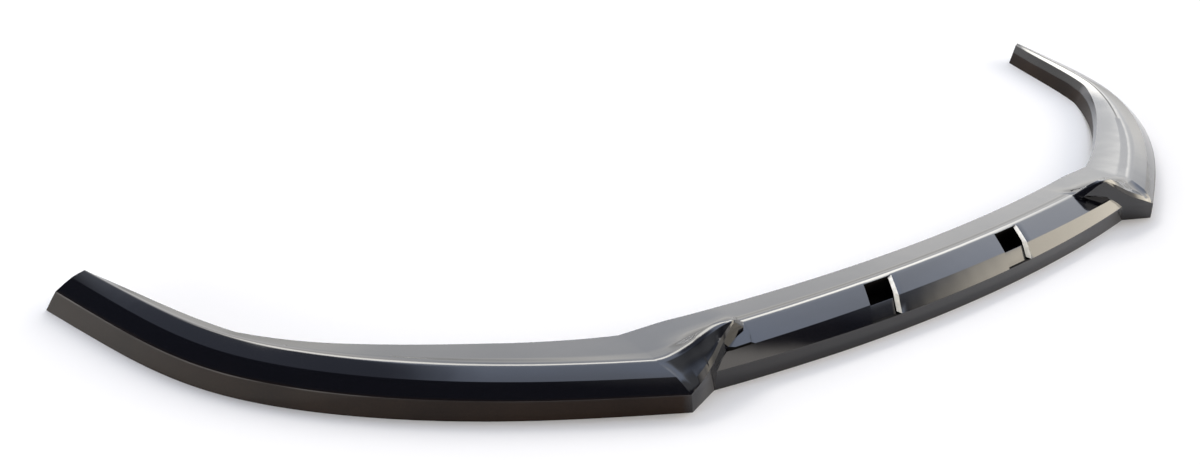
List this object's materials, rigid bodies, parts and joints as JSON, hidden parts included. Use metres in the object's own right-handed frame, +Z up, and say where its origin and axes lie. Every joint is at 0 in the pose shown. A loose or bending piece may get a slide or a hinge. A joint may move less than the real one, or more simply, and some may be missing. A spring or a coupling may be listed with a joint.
{
  "type": "front splitter lip",
  "caption": "Bow-shaped under-bumper lip moulded as one open-bottomed sheet, with swept-back wings, upswept tips and air slots in the middle.",
  "frame": {"origin": "centre line of the lip, middle of the front foot's underside, on the surface it stands on", "axes": "-Y is the car's front, +Z is up, +X is the car's left side when seen from its seats, and the wings sweep back along +Y"},
  "size_m": [1.768, 0.552, 0.059],
  "materials": {
    "gloss_black": "high gloss"
  },
  "bodies": {
    "root": {"splitter_lip": "gloss_black"}
  },
  "joints": []
}
